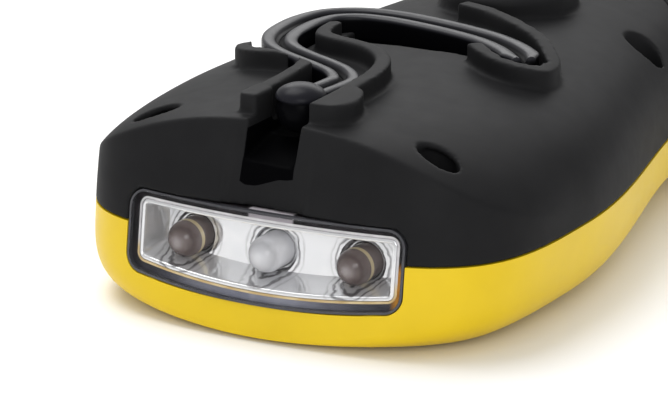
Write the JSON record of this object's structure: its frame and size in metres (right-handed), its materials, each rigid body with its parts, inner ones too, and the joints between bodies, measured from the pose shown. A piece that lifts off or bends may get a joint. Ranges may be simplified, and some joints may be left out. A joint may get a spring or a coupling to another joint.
{
  "type": "led flashlight",
  "caption": "Hand-held LED inspection lamp: rounded two-part casing, torch window in the nose, work window below, magnet and fold-out hook on the back.",
  "frame": {"origin": "under the middle of the object's box, on the plane that it lies on", "axes": "+Y from the nose with the torch window to the tail, +Z from the work window up to the back with the hook and the magnet, +X to the right seen from above with the tail up"},
  "size_m": [0.068, 0.2042, 0.0334],
  "materials": {
    "casing_black": "soft-touch matt",
    "casing_yellow": "satin",
    "hook_black": "glossy",
    "magnet_steel": "nickel plated",
    "lens_clear": "clear moulded",
    "reflector_chrome": "metallised",
    "led_clear": "clear epoxy",
    "board": "solder mask",
    "button_rubber": "matt",
    "switch_body": "matt",
    "cell_wrap": "wrapped steel can",
    "contact_metal": "nickel plated",
    "screw_steel": "black zinc"
  },
  "bodies": {
    "casing": {"back_shell": "casing_black", "front_shell": "casing_yellow", "magnet": "magnet_steel", "torch_lens": "lens_clear", "torch_reflector": "reflector_chrome", "torch_led_left": "led_clear", "torch_led_middle": "led_clear", "torch_led_right": "led_clear", "torch_board": "board", "work_window": "lens_clear", "work_reflector": "reflector_chrome", "work_board": "board", "work_led_01": "led_clear", "work_led_02": "led_clear", "work_led_03": "led_clear", "work_led_04": "led_clear", "work_led_05": "led_clear", "work_led_06": "led_clear", "work_led_07": "led_clear", "work_led_08": "led_clear", "work_led_09": "led_clear", "work_led_10": "led_clear", "work_led_11": "led_clear", "work_led_12": "led_clear", "work_led_13": "led_clear", "work_led_14": "led_clear", "work_led_15": "led_clear", "work_led_16": "led_clear", "work_led_17": "led_clear", "work_led_18": "led_clear", "work_led_19": "led_clear", "work_led_20": "led_clear", "work_led_21": "led_clear", "work_led_22": "led_clear", "work_led_23": "led_clear", "work_led_24": "led_clear", "button_switch": "switch_body", "button_board": "board", "battery_cell_01": "cell_wrap", "battery_spring_01": "contact_metal", "battery_cell_02": "cell_wrap", "battery_spring_02": "contact_metal", "battery_cell_03": "cell_wrap", "battery_spring_03": "contact_metal", "contact_front_single": "contact_metal", "contact_front_pair": "contact_metal", "contact_tail_pair": "contact_metal", "contact_tail_single": "contact_metal", "screw_front_left": "screw_steel", "screw_front_right": "screw_steel", "screw_rear_left": "screw_steel", "screw_rear_right": "screw_steel"},
    "hook": {"hook": "hook_black"},
    "cover": {"battery_cover": "casing_black"},
    "button": {"push_button": "button_rubber"}
  },
  "joints": [
    {"name": "hook_swing", "type": "hinge", "parent": "casing", "child": "hook", "pos_m": [0, -0.08868, 0.0295], "axis": [1, 0, 0], "range_deg": [0, 150]},
    {"name": "cover_slide", "type": "slide", "parent": "casing", "child": "cover", "axis": [0, 1, 0], "range_m": [0, 0.11]},
    {"name": "button_press", "type": "slide", "parent": "casing", "child": "button", "axis": [0, 0, 1], "range_m": [0, 0.0012], "stiffness_N_per_m": 400}
  ]
}
